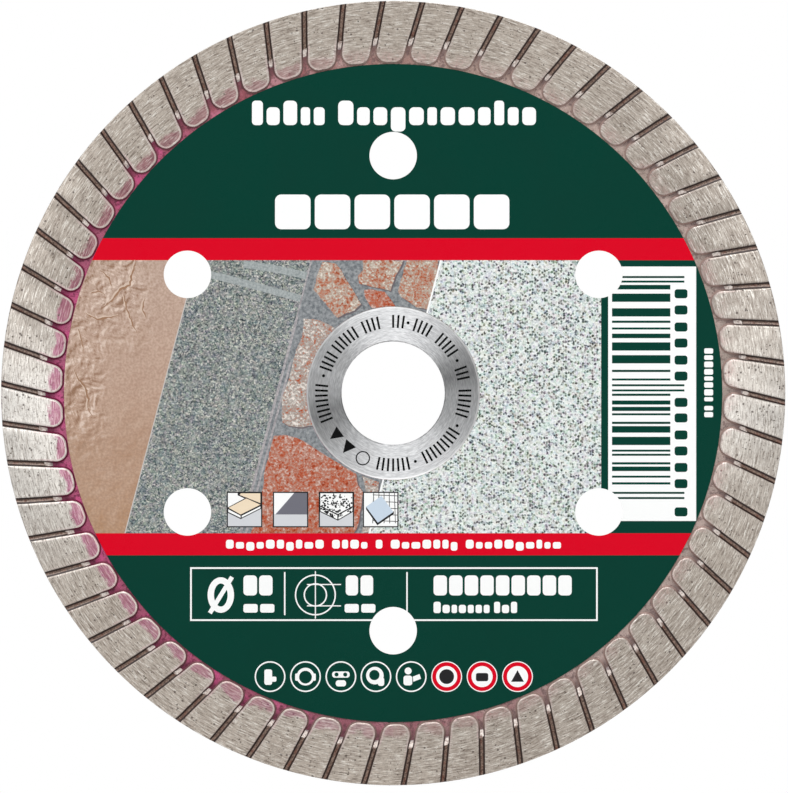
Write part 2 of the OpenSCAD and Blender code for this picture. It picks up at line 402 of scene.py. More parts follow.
def diamond_material():
    s = Shader("diamond")
    grain = s.noise(s.mm, 5.0)
    patch = s.noise(s.mm, 0.9, 1)
    s.colour = s.mix(s.span(patch, 0.35, 0.65), (70, 62, 52), (108, 100, 84))
    s.cover((150, 142, 118), grain, 0.5, 0.8, 0.6)
    return s.done(rough=s.span(grain, 0.3, 0.7, 0.12, 0.35), specular=0.8, normal=s.bump(grain, 0.02, 0.5))


def lacquer_material(name, fade=None):
    """Thin wine-red lacquer over steel: warm grey on the right, magenta on the left.

    With a fade radius it is an even band instead, and gives way to bare steel inside that radius.
    """
    s = Shader(name)
    r = s.radius()
    cloud = s.noise(s.mm, 0.9, 4, 0.6)
    peel = s.noise(s.mm, 2.8, 3, 0.65)
    if fade is None:
        uneven = 1.0
        left = s.math("COSINE", s.math("MULTIPLY_ADD", s.turn(), math.tau, -math.tau * 0.22))
        left = s.span(left, -0.1, 0.6)
        s.colour = s.ramp(
            s.stirred(s.turn(), cloud, 0.06),
            (0.00, (156, 98, 108)), (0.06, (162, 84, 106)), (0.12, (168, 84, 112)),
            (0.19, (170, 86, 114)), (0.25, (184, 96, 130)), (0.36, (172, 90, 112)),
            (0.42, (162, 88, 98)), (0.47, (160, 114, 110)), (0.53, (172, 147, 136)),
            (0.66, (180, 163, 153)), (0.74, (174, 158, 149)), (0.90, (168, 149, 142)),
            (0.945, (166, 120, 122)), (1.0, (156, 98, 108)))
    else:
        uneven = 0.3
        left = 0.55
        s.colour = s.mix(s.span(cloud, 0.35, 0.65), (138, 66, 86), (152, 80, 98))
    deep = s.mix(left, (104, 82, 80), (88, 12, 46))
    s.cover(s.mix(left, (206, 182, 174), (214, 84, 142)), cloud, 0.44, 0.58, 0.65 * uneven)
    s.cover(deep, peel, 0.49, 0.62, 0.75 * uneven)
    # Darker outwards towards the ribs' inner ends: thicker lacquer at the rib bases, and painted shade in the
    # grooves
    s.cover(deep, r, 32.5, 33.2, 0.7)
    metal = 0.25
    if fade is not None:
        mark = s.noise(s.ring(r, 26, 14), 1.0, 3, 0.6)
        s.cover((186, 126, 140), mark, 0.4, 0.65, 0.3)
        bare = s.span(s.math("MULTIPLY_ADD", cloud, 1.2, r), fade + 1.0, fade + 0.4, smooth=True)
        s.lay(s.mix(mark, (196, 197, 199), (236, 236, 237)), bare)
        metal = s.span(bare, 0, 1, 0.25, 1.0)
    return s.done(metal=metal, rough=s.span(peel, 0.3, 0.7, 0.22, 0.36), normal=s.bump(peel, 0.01, 0.5))


def adhesive_material():
    s = Shader("adhesive")
    drop = s.noise(s.mm, 2.2, 3)
    s.colour = s.mix(drop, (222, 214, 190), (240, 236, 222))
    return s.done(rough=s.span(drop, 0.3, 0.7, 0.3, 0.55), normal=s.bump(drop, 0.02, 0.5))


def ink_material():
    s = Shader("hub_ink")
    wear = s.noise(s.mm, 7.0, 3, 0.7)
    s.colour = s.mix(s.span(wear, 0.58, 0.78, 0, 0.5), (5, 5, 6), (48, 48, 50))
    return s.done(rough=s.span(wear, 0.3, 0.7, 0.35, 0.6), specular=0.1, normal=s.bump(wear, 0.01, 0.4))


# ---------------------------------------------------------------- printed materials

class Print(Shader):
    """Printed film: a satin laminate with a faint weave of pressure marks."""

    def __init__(self, name):
        super().__init__("print_" + name)
        # Away from the whole numbers, where noise shows its grid
        self.mm = self.moved(self.mm, (0.31, 7.37, 0.17))
        self.soft = self.noise(self.mm, 0.22, 3)
        self.fine = self.noise(self.mm, 14.0)

    def printed(self):
        rough = self.math("MULTIPLY_ADD", self.fine, 0.08, self.span(self.soft, 0.3, 0.7, 0.22, 0.28))
        low = self.bump(self.soft, 0.05, 0.15)
        return self.done(rough=rough, specular=0.1, normal=self.bump(self.fine, 0.002, 0.25, low))

    def emboss(self, scale, shift, *look):
        """Difference of a noise between two near points, as the light and dark sides of printed relief."""
        near = self.moved(self.mm, (-shift, 0, shift))
        return self.math("SUBTRACT", self.noise(self.mm, scale, *look), self.noise(near, scale, *look))


def flat_print(name, colour, darker):
    """A solid printed colour, a little uneven in its cover."""
    s = Print(name)
    s.colour = linear(colour)
    shade = (*(0.72 * c for c in s.colour[:3]), 1.0)
    s.cover(shade, s.weighted((s.fine, 0.5), (s.soft, 0.5)), 0.35, 0.65, darker)
    return s.printed()


def grainy_print(name, scale, rough, low, dark, light):
    """Fine grain between two tones."""
    s = Print(name)
    s.colour = s.mix(s.span(s.noise(s.mm, scale, 3, rough), low, 1 - low), dark, light)
    return s.printed()


def stone_print(name, scale, *stops):
    """Broken stone: one mottled mineral field, cut into colours."""
    s = Print(name)
    blotch = s.noise(s.mm, scale, 4, 0.6)
    grain = s.noise(s.mm, 4.2, 3, 0.7)
    chip = s.cells(s.mm, 5.6)[1]
    level = s.weighted((grain, 0.75), (blotch, 0.55), (chip, 0.22))
    s.colour = s.ramp(s.span(level, 0.56, 0.96), *stops)
    return s.printed()


def sandstone_print(name):
    """Sandstone with split, slate-like relief at its upper left and along the label's edge."""
    s = Print(name)
    s.colour = s.ramp(s.span(s.z, -14, 13), (0.0, (178, 139, 106)), (0.25, (177, 141, 115)),
                      (0.55, (190, 160, 142)), (1.0, (195, 171, 157)))
    upper = s.times(s.span(s.z, 1, 9, smooth=True), s.span(s.x, -22.0, -25.5, smooth=True))
    border = s.times(s.span(s.z, -7, -2), s.span(s.math("ADD", s.radius(), s.noise(s.mm, 0.35)), 27.5, 29.5),
                     s.span(s.z, 13, 6, 0.5, 1))
    veins = s.math("MAXIMUM", upper, border)
    relief = s.emboss(0.62, 0.2, 5, 0.66, 0.5)
    soft = s.emboss(0.7, 0.22, 4, 0.6)
    s.cover((204, 176, 158), s.noise(s.mm, 0.16), 0.45, 0.65, 0.35)
    s.cover((216, 192, 174), soft, -0.14, 0.14, 0.34)
    s.lay((146, 114, 94), s.span(s.noise(s.mm, 4.5), 0.35, 0.65, 0.4, 0.0))
    s.lay((230, 210, 196), s.times(s.span(relief, 0.02, 0.11), veins, 0.85))
    s.lay((138, 103, 78), s.times(s.span(relief, -0.02, -0.11), veins, 0.8))
    return s.printed()


def granite_print(name):
    """Grey granite."""
    s = Print(name)
    level = s.weighted((s.cells(s.mm, 7.2)[1], 0.62), (s.cells(s.mm, 10.0)[1], 0.38))
    s.colour = s.ramp(level, (0.06, (40, 50, 54)), (0.26, (94, 104, 106)), (0.5, (137, 143, 141)),
                      (0.74, (170, 172, 166)), (0.95, (226, 226, 216)))
    patch = s.noise(s.mm, 1.1, 3)
    s.cover((112, 130, 136), patch, 0.5, 0.7, 0.3)
    s.cover((162, 161, 154), patch, 0.46, 0.32, 0.15)
    s.tint(3.6, 0.09)
    return s.printed()


def white_granite_print(name):
    """White granite with dark specks of crooked outline."""
    s = Print(name)
    stir = s.node("ShaderNodeTexNoise", {"Vector": s.mm, "Scale": 5.0}).outputs["Color"]
    bent = s.node("ShaderNodeVectorMath", {0: stir, 1: (0.22, 0.22, 0.22), 2: s.mm}, operation="MULTIPLY_ADD")
    distance, number = s.cells(bent.outputs[0], 4.3)
    s.colour = s.mix(s.cells(s.mm, 7.5)[1], (188, 198, 196), (246, 250, 247))
    s.cover((236, 240, 238), s.noise(s.mm, 0.5), 0.45, 0.65, 0.25)
    speck = s.times(s.math("GREATER_THAN", number, 0.48), s.span(distance, 0.66, 0.40), 0.95)
    s.lay(s.ramp(number, (0.48, (172, 180, 174)), (0.66, (122, 130, 126)), (0.84, (68, 76, 74)),
                 (1.0, (26, 30, 32))), speck)
    s.tint(3.2, 0.22)
    return s.printed()


# Maker of each printed material, and what it is given after the name
PRINTS = {
    "film": (flat_print, (236, 236, 234), 0.3),
    "green": (flat_print, (0.0, 0.047, 0.031, 1), 0.25),
    "red": (flat_print, (0.72, 0.0, 0.016, 1), 0.12),
    "white": (flat_print, (0.985, 0.995, 0.99, 1), 0.02),
    "crack_light": (flat_print, (216, 193, 176), 0.35),
    "crack_dark": (flat_print, (160, 124, 98), 0.4),
    "shadow": (flat_print, (112, 104, 108), 0.3),
    "hairline": (flat_print, (206, 200, 196), 0.3),
    "dark_line": (flat_print, (40, 40, 42), 0.2),
    "pale_grey": (flat_print, (214, 216, 220), 0.1),
    "mid_grey": (flat_print, (116, 116, 126), 0.2),
    "beige": (flat_print, (243, 224, 196), 0.1),
    "pale_blue": (flat_print, (206, 221, 236), 0.15),
    "granite_light": (grainy_print, 4.5, 0.65, 0.35, (142, 150, 150), (178, 184, 184)),
    "joints": (grainy_print, 3.4, 0.65, 0.32, (98, 104, 109), (164, 167, 169)),
    "kerb": (grainy_print, 4.0, 0.6, 0.35, (146, 143, 146), (190, 184, 186)),
    "orange_stone": (
        stone_print, 1.25, (0.0, (146, 54, 26)), (0.24, (188, 92, 62)), (0.42, (182, 114, 92)),
        (0.6, (178, 128, 112)), (0.78, (194, 154, 140)), (1.0, (216, 190, 180))),
    "pale_stone": (
        stone_print, 0.9, (0.0, (166, 78, 48)), (0.12, (188, 118, 92)), (0.27, (174, 146, 134)),
        (0.5, (164, 156, 150)), (0.72, (200, 192, 184)), (1.0, (240, 230, 222))),
    "tan_stone": (
        stone_print, 0.85, (0.0, (156, 80, 52)), (0.18, (186, 114, 86)), (0.38, (184, 144, 126)),
        (0.6, (178, 162, 149)), (0.8, (204, 194, 180)), (1.0, (226, 218, 206))),
    "sandstone": (sandstone_print,),
    "granite": (granite_print,),
    "white_granite": (white_granite_print,),
}


def print_material(name):
    make, *look = PRINTS[name]
    return make(name, *look)


# ---------------------------------------------------------------- mesh helpers

def in_world(x, y, height, side):
    """World place of a plan point. Side is -1 on the front and 1 on the back."""
    return Vector((x * MM, side * height * MM, y * MM))


def turned(point, angle):
    """Plan point turned clockwise."""
    c, s = math.cos(angle), math.sin(angle)
    return (point[0] * c + point[1] * s, -point[0] * s + point[1] * c)


def add_object(name, bm, material, stands_for=(), smooth=None):
    mesh = bpy.data.meshes.new(name)
    bmesh.ops.recalc_face_normals(bm, faces=bm.faces)
    if smooth is not None:
        for face in bm.faces:
            face.smooth = True
        for edge in bm.edges:
            edge.smooth = edge.calc_face_angle(0) < math.radians(smooth)
    bm.to_mesh(mesh)
    bm.free()
    mesh.materials.append(material)
    piece = bpy.data.objects.new(name, mesh)
    bpy.context.scene.collection.objects.link(piece)
    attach(piece, "root")
    if stands_for:
        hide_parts(*stands_for)
    return piece


# ---------------------------------------------------------------- rim

def reach(radius, x):
    return math.sqrt(radius * radius - x * x)


def polar(radius, angle):
    """Plan point at an angle clockwise from the top."""
    return (radius * math.sin(angle), radius * math.cos(angle))


def between(first, last, steps):
    """Evenly spaced numbers from first to last, both among them."""
    return [first + (last - first) * i / steps for i in range(steps + 1)]


EDGE_RADII = [BOND_R, 37.3, 36.6, 35.9, 35.2, FOOT_OUT, 34.1, FOOT_IN]
OUTER_STEPS = 12
CORNER_STEPS = 8
INNER_STEPS = 7


def rib_outline():
    """Plan of the rib right of the groove that runs along +Y, clockwise from its outer left corner.

    Returns the points and the numbers of the last outer point and of the two points at the foot layer's edge.
    """
    left_x = -GROOVE_X + GROOVE_W / 2
    right_x = -GROOVE_X - GROOVE_W / 2
    first = math.atan2(left_x, reach(BOND_R, left_x))
    last = math.atan2(*turned((right_x, reach(BOND_R, right_x)), STEP))
    points = [polar(BOND_R, angle) for angle in between(first, last, OUTER_STEPS)]
    right_foot = len(points) + EDGE_RADII.index(FOOT_OUT) - 1
    points += [turned((right_x, reach(r, right_x)), STEP) for r in EDGE_RADII[1:]]

    def corner(side):
        """Rounded inner corner beside a groove: side is -1 at the rib's right edge and 1 at its left."""
        x = -GROOVE_X + side * (GROOVE_W / 2 + RIB_CORNER)
        y = reach(RIB_IN + RIB_CORNER, x)
        inward = math.atan2(-y, -x)
        ends = (0, inward) if side < 0 else (inward, -math.pi)
        angles = between(*ends, CORNER_STEPS)
        return [(x + RIB_CORNER * math.cos(a), y + RIB_CORNER * math.sin(a)) for a in angles]

    points += [turned(point, STEP) for point in corner(-1)]
    left_corner = corner(1)
    right_end, left_end = math.atan2(*points[-1]), math.atan2(*left_corner[0])
    points += [polar(RIB_IN, angle) for angle in between(right_end, left_end, INNER_STEPS)[1:-1]]
    points += left_corner
    left_side = [(left_x, reach(r, left_x)) for r in reversed(EDGE_RADII[1:])]
    left_foot = len(points) + len(left_side) - EDGE_RADII.index(FOOT_OUT)
    return points + left_side, right_foot, left_foot


def inset(points, distance, keep=0):
    """Clockwise outline moved inwards. The first `keep` points stay close to the outer circle."""
    out = []
    for i, point in enumerate(points):
        before = Vector(points[i - 1])
        here = Vector(point)
        after = Vector(points[(i + 1) % len(points)])
        a = (here - before).normalized()
        b = (after - here).normalized()
        right_a, right_b = Vector((a.y, -a.x)), Vector((b.y, -b.x))
        moved = here + (right_a + right_b) * (distance / (1 + right_a.dot(right_b)))
        if i < keep:
            moved = moved.normalized() * (BOND_R - max(distance, 0) * 0.2)
        out.append((moved.x, moved.y))
    return out


def zip_loops(bm, first, second):
    """Joins two closed rings of vertices around the axis with triangles."""
    def angle(v):
        return math.atan2(v.co.x, v.co.z)

    def ordered(loop):
        low = min(range(len(loop)), key=lambda i: angle(loop[i]))
        loop = loop[low:] + loop[:low]
        return loop, [angle(v) for v in loop] + [angle(loop[0]) + math.tau]

    a, turn_a = ordered(first)
    b, turn_b = ordered(second)
    i = j = 0
    while i < len(a) or j < len(b):
        if j == len(b) or (i < len(a) and turn_a[i + 1] <= turn_b[j + 1]):
            bm.faces.new((a[i], a[(i + 1) % len(a)], b[j % len(b)]))
            i += 1
        else:
            bm.faces.new((a[i % len(a)], b[(j + 1) % len(b)], b[j]))
            j += 1


FLOOR_STEPS = 4
ARC_STEPS = 6
# Height that the ribs' inner ends go down to, below the surface of the foot layer
UNDER = 0.53
# How far the walls of a groove lean out down to its floor
WALL_SPREAD = 0.19
# Rings of a rib from its flat top outwards: inset, depth below the top, strength of the painted highlight on
# its outline
RIB_RINGS = ((0.20, 0.0, 0.0), (0.14, 0.003, 0.9), (0.06, 0.014, 1.0), (0.0, 0.05, 0.4))


def build_side(bm, outline_layer, start, side, rng):
    """Ribs and grooves of one face. Returns the face's outer and inner boundary rings."""
    points, right_foot, left_foot = rib_outline()
    count = len(points)
    keep = OUTER_STEPS + 1
    levels = [(inset(points, by, keep) if by else points, RIB_TOP - depth, edge_highlight)
              for by, depth, edge_highlight in RIB_RINGS]
    bottom = inset(points, -WALL_SPREAD, keep)

    def vertex(point, turn, height, outline=0.0, wobble=0.02):
        x, y = turned(point, turn)
        shift = noise.noise_vector((x * 1.7, y * 1.7, side * 9.0)) * wobble
        x, y = x + shift.x, y + shift.y
        far = math.hypot(x, y)
        if far > BOND_R:
            x, y = x * BOND_R / far, y * BOND_R / far
        made = bm.verts.new(in_world(x, y, height, side))
        made[outline_layer] = outline
        return made

    ribs = []
    for i in range(GROOVES):
        turn = start + i * STEP
        drop = rng.uniform(0, 0.006)
        rings = [[vertex(p, turn, h - drop, o) for p in loop] for loop, h, o in levels]
        low = [vertex(p, turn, UNDER if right_foot < k < left_foot else WEB_TOP)
               for k, p in enumerate(bottom)]
        under_right = vertex(bottom[right_foot], turn, UNDER)
        under_left = vertex(bottom[left_foot], turn, UNDER)
        bm.faces.new(rings[0])
        for upper, lower in zip(rings, rings[1:]):
            for k in range(count):
                n = (k + 1) % count
                bm.faces.new((upper[k], upper[n], lower[n], lower[k]))
        last = rings[-1]
        for k in range(count):
            n = (k + 1) % count
            extra = [under_right] if k == right_foot else [under_left] if n == left_foot else []
            bm.faces.new([last[k], last[n], low[n]] + extra + [low[k]])
        first_angle = math.atan2(*turned(bottom[left_foot], turn))
        last_angle = math.atan2(*turned(bottom[right_foot], turn))
        if last_angle < first_angle:
            last_angle += math.tau
        arc = [bm.verts.new(in_world(*polar(FOOT_OUT, angle), UNDER, side))
               for angle in between(first_angle, last_angle, ARC_STEPS)[1:-1]]
        bm.faces.new([under_right] + low[right_foot + 1:left_foot] + [under_left] + arc)
        ribs.append((low, under_right, under_left, arc))

    outer, inner = [], []
    stations = EDGE_RADII.index(FOOT_OUT) + 1
    for i in range(GROOVES):
        low, under_right, under_left, arc = ribs[i]
        after = ribs[(i + 1) % GROOVES]
        # Clockwise across the groove: from the right edge of this rib to the left edge of the next one
        from_side = [low[OUTER_STEPS + k] for k in range(stations)]
        next_low = after[0]
        to_side = [next_low[0]] + [next_low[-k] for k in range(1, stations)]
        columns = [from_side]
        for c in range(1, FLOOR_STEPS):
            share = c / FLOOR_STEPS
            column = []
            for k in range(stations):
                place = from_side[k].co.lerp(to_side[k].co, share)
                rough = 0.012 * noise.noise(place * 1900)
                dip = (0.05 if 0 < k < stations - 1 else 0.03) * math.sin(math.pi * share)
                place.y = side * (WEB_TOP - dip + rough) * MM
                column.append(bm.verts.new(place))
            columns.append(column)
        columns.append(to_side)
        for one, two in zip(columns, columns[1:]):
            for k in range(stations - 1):
                bm.faces.new((one[k], two[k], two[k + 1], one[k + 1]))
        low_inner = [under_right]
        for column in columns[1:-1]:
            place = column[-1].co.copy()
            place.y = side * UNDER * MM
            low_inner.append(bm.verts.new(place))
        low_inner.append(after[2])
        for c in range(FLOOR_STEPS):
            bm.faces.new((columns[c][-1], columns[c + 1][-1], low_inner[c + 1], low_inner[c]))
        outer += low[:OUTER_STEPS + 1] + [column[0] for column in columns[1:-1]]
        inner += [under_left] + arc + low_inner[:-1]
    return outer, inner


def build_rim():
    rng = random.Random(4)
    bm = bmesh.new()
    layer = bm.verts.layers.float.new("outline")
    front = build_side(bm, layer, FRONT_START, -1, rng)
    back = build_side(bm, layer, BACK_START, 1, rng)
    zip_loops(bm, front[0], back[0])
    zip_loops(bm, front[1], back[1])
    return add_object("bond_rim_sintered", bm, bond_material(), ["bond_rim"], smooth=28)


# ---------------------------------------------------------------- diamond crystals

def add_crystal(bm, centre, outward, size, height, rng):
    """One blocky crystal, sunk so that only its top stands out by `height`."""
    made = bmesh.ops.create_icosphere(bm, subdivisions=1, radius=1)["verts"]
    spin = Matrix.Rotation(rng.uniform(0, math.tau), 3, "Z") @ Matrix.Rotation(rng.uniform(0, 1.0), 3, "X")
    stretch = Vector((rng.uniform(0.8, 1.2), rng.uniform(0.6, 0.95), 1))
    lean = outward.to_track_quat("Z", "Y").to_matrix()
    top = 0
    places = []
    for v in made:
        p = spin @ (v.co * rng.uniform(0.82, 1.12))
        p = Vector((p.x * stretch.x * size, p.y * stretch.y * size, max(p.z, -0.4) * size * 0.55))
        top = max(top, p.z)
        places.append(p)
    for v, p in zip(made, places):
        p.z += height - top
        v.co = centre + (lean @ p) * MM


def build_rib_grit(name, start, side, stands_for, seed):
    rng = random.Random(seed)
    bm = bmesh.new()
    for i in range(GROOVES):
        for k in range(rng.choice((7, 8, 9, 10))):
            r = rng.uniform(32.9, 37.6)
            sideways = rng.uniform(-1.15, 1.15) * (r - 26) / 11
            point = turned((-GROOVE_X + sideways, reach(r, GROOVE_X)), start + (i + 0.5) * STEP)
            size = rng.choice((0.05, 0.06, 0.07, 0.08, 0.1, 0.12, 0.15))
            height = rng.uniform(0.006, 0.024)
            add_crystal(bm, in_world(*point, RIB_TOP, side), Vector((0, side, 0)), size, height, rng)
    return add_object(name, bm, MATERIALS["diamond"], stands_for)


def build_edge_grit():
    rng = random.Random(31)
    bm = bmesh.new()
    count = 250
    for i in range(count):
        angle = math.tau * (i + rng.uniform(0.1, 0.9)) / count
        out = Vector((math.sin(angle), 0, math.cos(angle)))
        centre = out * (BOND_R - 0.01) * MM
        centre.y = rng.uniform(-0.5, 0.5) * MM
        add_crystal(bm, centre, out, rng.uniform(0.06, 0.16), rng.uniform(0.012, 0.03), rng)
    return add_object("grit_edge_crystals", bm, MATERIALS["diamond"], ["grit_edge"])


# ---------------------------------------------------------------- label artwork

def rect(x0, y0, x1, y1):
    return [(x0, y0), (x1, y0), (x1, y1), (x0, y1)]


def round_rect(x0, y0, x1, y1, radius, steps=4):
    out = []
    corners = ((x1 - radius, y0 + radius, -90), (x1 - radius, y1 - radius, 0),
               (x0 + radius, y1 - radius, 90), (x0 + radius, y0 + radius, 180))
    for cx, cy, begin in corners:
        for i in range(steps + 1):
            a = math.radians(begin + 90 * i / steps)
            out.append((cx + radius * math.cos(a), cy + radius * math.sin(a)))
    return out


def oval(cx, cy, half_x, half_y, steps=40):
    turns = [math.tau * i / steps for i in range(steps)]
    return [(cx + half_x * math.cos(a), cy + half_y * math.sin(a)) for a in turns]


def disc(cx, cy, radius, steps=40):
    return oval(cx, cy, radius, radius, steps)


def line(x0, y0, x1, y1, width):
    along = Vector((x1 - x0, y1 - y0)).normalized() * width / 2
    nx, ny = -along.y, along.x
    return [(x0 + nx, y0 + ny), (x0 - nx, y0 - ny), (x1 - nx, y1 - ny), (x1 + nx, y1 + ny)]


CORNER_GAP = 0.002
# Past the label's edge
SIDE_X = 33
# The picture with its slanted borders, and the outer edges of the red bands above and below it
PICTURE_LOW = -13.57
PICTURE_HIGH = 12.87
BAND_LOW = -15.7
BAND_HIGH = 15.0
SLANT = 0.262
GRANITE_X = -22.4
PAVING_X = -11.3
WHITE_X = 1.25
WHITE_END = 20.14


class Artwork:
    """Printed regions in the order of printing: a later one covers an earlier one."""

    def __init__(self):
        self.shapes = []

    def add(self, region, *outlines, x=0.0, y=0.0):
        """Adds outlines, moved by x and y."""
        for outline in outlines:
            self.shapes.append((region, [(x + u, y + v) for u, v in outline]))

    def partition(self, label, holes):
        """Faces of every region, as lists of plan points shared between neighbours."""
        places, faces = [], []
        for outline in [label] + holes + [shape for _, shape in self.shapes]:
            first = len(places)
            if sum(a[0] * b[1] - b[0] * a[1] for a, b in zip(outline, outline[1:] + outline[:1])) < 0:
                outline = outline[::-1]
            places += [Vector(p) for p in outline]
            faces.append(list(range(first, len(places))))
        points, _, cells, _, _, origins = geometry.delaunay_2d_cdt(places, [], faces, 1, 0.0005)
        hole_ids = set(range(1, 1 + len(holes)))
        first_shape = 1 + len(holes)
        regions, taken = {}, set()
        for cell, ids in zip(cells, origins):
            key = frozenset(cell)
            if 0 not in ids or hole_ids.intersection(ids) or key in taken:
                continue
            taken.add(key)
            top = max(ids)
            region = self.shapes[top - first_shape][0] if top >= first_shape else "green"
            regions.setdefault(region, []).append(cell)
        return points, regions


def plate(points, cells, low, high):
    """Closed thin plate over the given faces of the plan, on the front of the blade.

    Where faces meet at a point only, each keeps its own corner there, so that no edge is shared.
    """
    bm = bmesh.new()
    owner = {(i, j): n for n, cell in enumerate(cells) for i, j in zip(cell, cell[1:] + cell[:1])}
    parent = {(n, i): (n, i) for n, cell in enumerate(cells) for i in cell}

    def root(corner):
        while parent[corner] != corner:
            parent[corner] = parent[parent[corner]]
            corner = parent[corner]
        return corner

    for (i, j), n in owner.items():
        if (j, i) in owner:
            for k in (i, j):
                parent[root((n, k))] = root((owner[(j, i)], k))
    fans = {}
    for corner in parent:
        fans.setdefault(root(corner), []).append(corner)
    shared = {}
    for _, i in fans:
        shared[i] = shared.get(i, 0) + 1
    tops, bottoms = {}, {}
    for key, corners in fans.items():
        place = Vector(points[key[1]])
        if shared[key[1]] > 1:
            middle = Vector((0, 0))
            for n, _ in corners:
                for i in cells[n]:
                    middle += Vector(points[i]) / (len(corners) * len(cells[n]))
            place += (middle - place).normalized() * CORNER_GAP
        tops[key] = bm.verts.new(in_world(place.x, place.y, high, -1))
        bottoms[key] = bm.verts.new(in_world(place.x, place.y, low, -1))
    for n, cell in enumerate(cells):
        keys = [root((n, i)) for i in cell]
        bm.faces.new([tops[k] for k in keys])
        bm.faces.new([bottoms[k] for k in reversed(keys)])
    for (i, j), n in owner.items():
        if (j, i) not in owner:
            a, b = root((n, i)), root((n, j))
            bm.faces.new((tops[b], tops[a], bottoms[a], bottoms[b]))
    return bm


def greek(art, region, x0, x1, base, x_height, cap_height, drop, seed,
          widths=(0.7, 1.25), gap=0.28, space=0.75, words=(5, 12)):
    """A row of plain rounded blocks in place of lettering, fitted between x0 and x1."""
    rng = random.Random(seed)
    blocks, x = [], 0.0
    for n, word in enumerate(words):
        if n:
            x += space
        for k in range(word):
            width = rng.uniform(*widths)
            top = cap_height if (k == 0 or rng.random() < 0.3) else x_height
            bottom = base - (drop if top < cap_height and rng.random() < 0.15 else 0)
            blocks.append((x, x + width, bottom, top))
            x += width + gap
    scale = (x1 - x0) / (x - gap)
    for a, b, bottom, top in blocks:
        a, b = x0 + a * scale, x0 + b * scale
        radius = min(0.32 * (b - a), 0.3 * (top - bottom))
        art.add(region, round_rect(a, bottom, b, top, radius))


def slanted(x, y):
    """Point at height y on the slanted line through x on the label's middle line."""
    return (x + SLANT * y, y)


def slant_strip(left, right, low=PICTURE_LOW, high=PICTURE_HIGH):
    return [slanted(left, low), slanted(right, low), slanted(right, high), slanted(left, high)]


def ragged(outline, seed, amount=0.12, step=0.45):
    """Outline with more points and a broken stone's edge."""
    out = []
    for i, point in enumerate(outline):
        a, b = Vector(point), Vector(outline[(i + 1) % len(outline)])
        pieces = max(1, round((b - a).length / step))
        for k in range(pieces):
            p = a.lerp(b, k / pieces)
            shift = noise.noise_vector((p.x * 1.3, p.y * 1.3, seed)) * amount
            y = max(PICTURE_LOW + 0.01, min(PICTURE_HIGH - 0.01, p.y + shift.y))
            out.append((p.x + shift.x, y))
    return out


def stroke(places, width, seed):
    """Thin broken line with pointed ends."""
    rng = random.Random(seed)
    path = []
    for (x0, y0), (x1, y1) in zip(places, places[1:]):
        pieces = max(1, round(math.hypot(x1 - x0, y1 - y0) / 0.28))
        path += [(x0 + (x1 - x0) * k / pieces, y0 + (y1 - y0) * k / pieces) for k in range(pieces)]
    path.append(places[-1])
    last = len(path) - 1
    left, right = [], []
    for i, (x, y) in enumerate(path):
        (ax, ay), (bx, by) = path[max(i - 1, 0)], path[min(i + 1, last)]
        across = Vector((ay - by, bx - ax)).normalized()
        half = width / 2 * (0.2 + math.sin(math.pi * i / last)) * rng.uniform(0.5, 1.2)
        shift = rng.uniform(-0.06, 0.06) if 0 < i < last else 0
        left.append((x + across.x * (shift + half), y + across.y * (shift + half)))
        right.append((x + across.x * (shift - half), y + across.y * (shift - half)))
    return left + right[::-1]


CRACKS = (
    (0.26, [(-24.9, 12.8), (-25.3, 11.5), (-25.5, 10.5), (-26.4, 10.0), (-27.0, 9.2), (-28.0, 8.3)]),
    (0.20, [(-26.1, 9.5), (-25.8, 8.2), (-25.3, 6.8), (-24.8, 5.8)]),
    (0.20, [(-29.8, 7.8), (-28.7, 7.1), (-27.6, 7.3), (-26.5, 7.5)]),
    (0.18, [(-30.5, 6.2), (-30.1, 5.0), (-30.0, 3.9)]),
    (0.20, [(-30.9, 2.3), (-30.4, 1.3), (-29.8, 0.5), (-29.5, -0.6), (-29.6, -1.4), (-29.1, -2.2)]),
    (0.16, [(-28.4, 11.9), (-27.5, 11.2), (-27.2, 10.1)]),
    (0.16, [(-24.0, 9.2), (-24.3, 8.1), (-23.9, 7.2)]),
    (0.14, [(-29.3, 9.6), (-28.6, 9.9), (-27.9, 9.5)]),
)


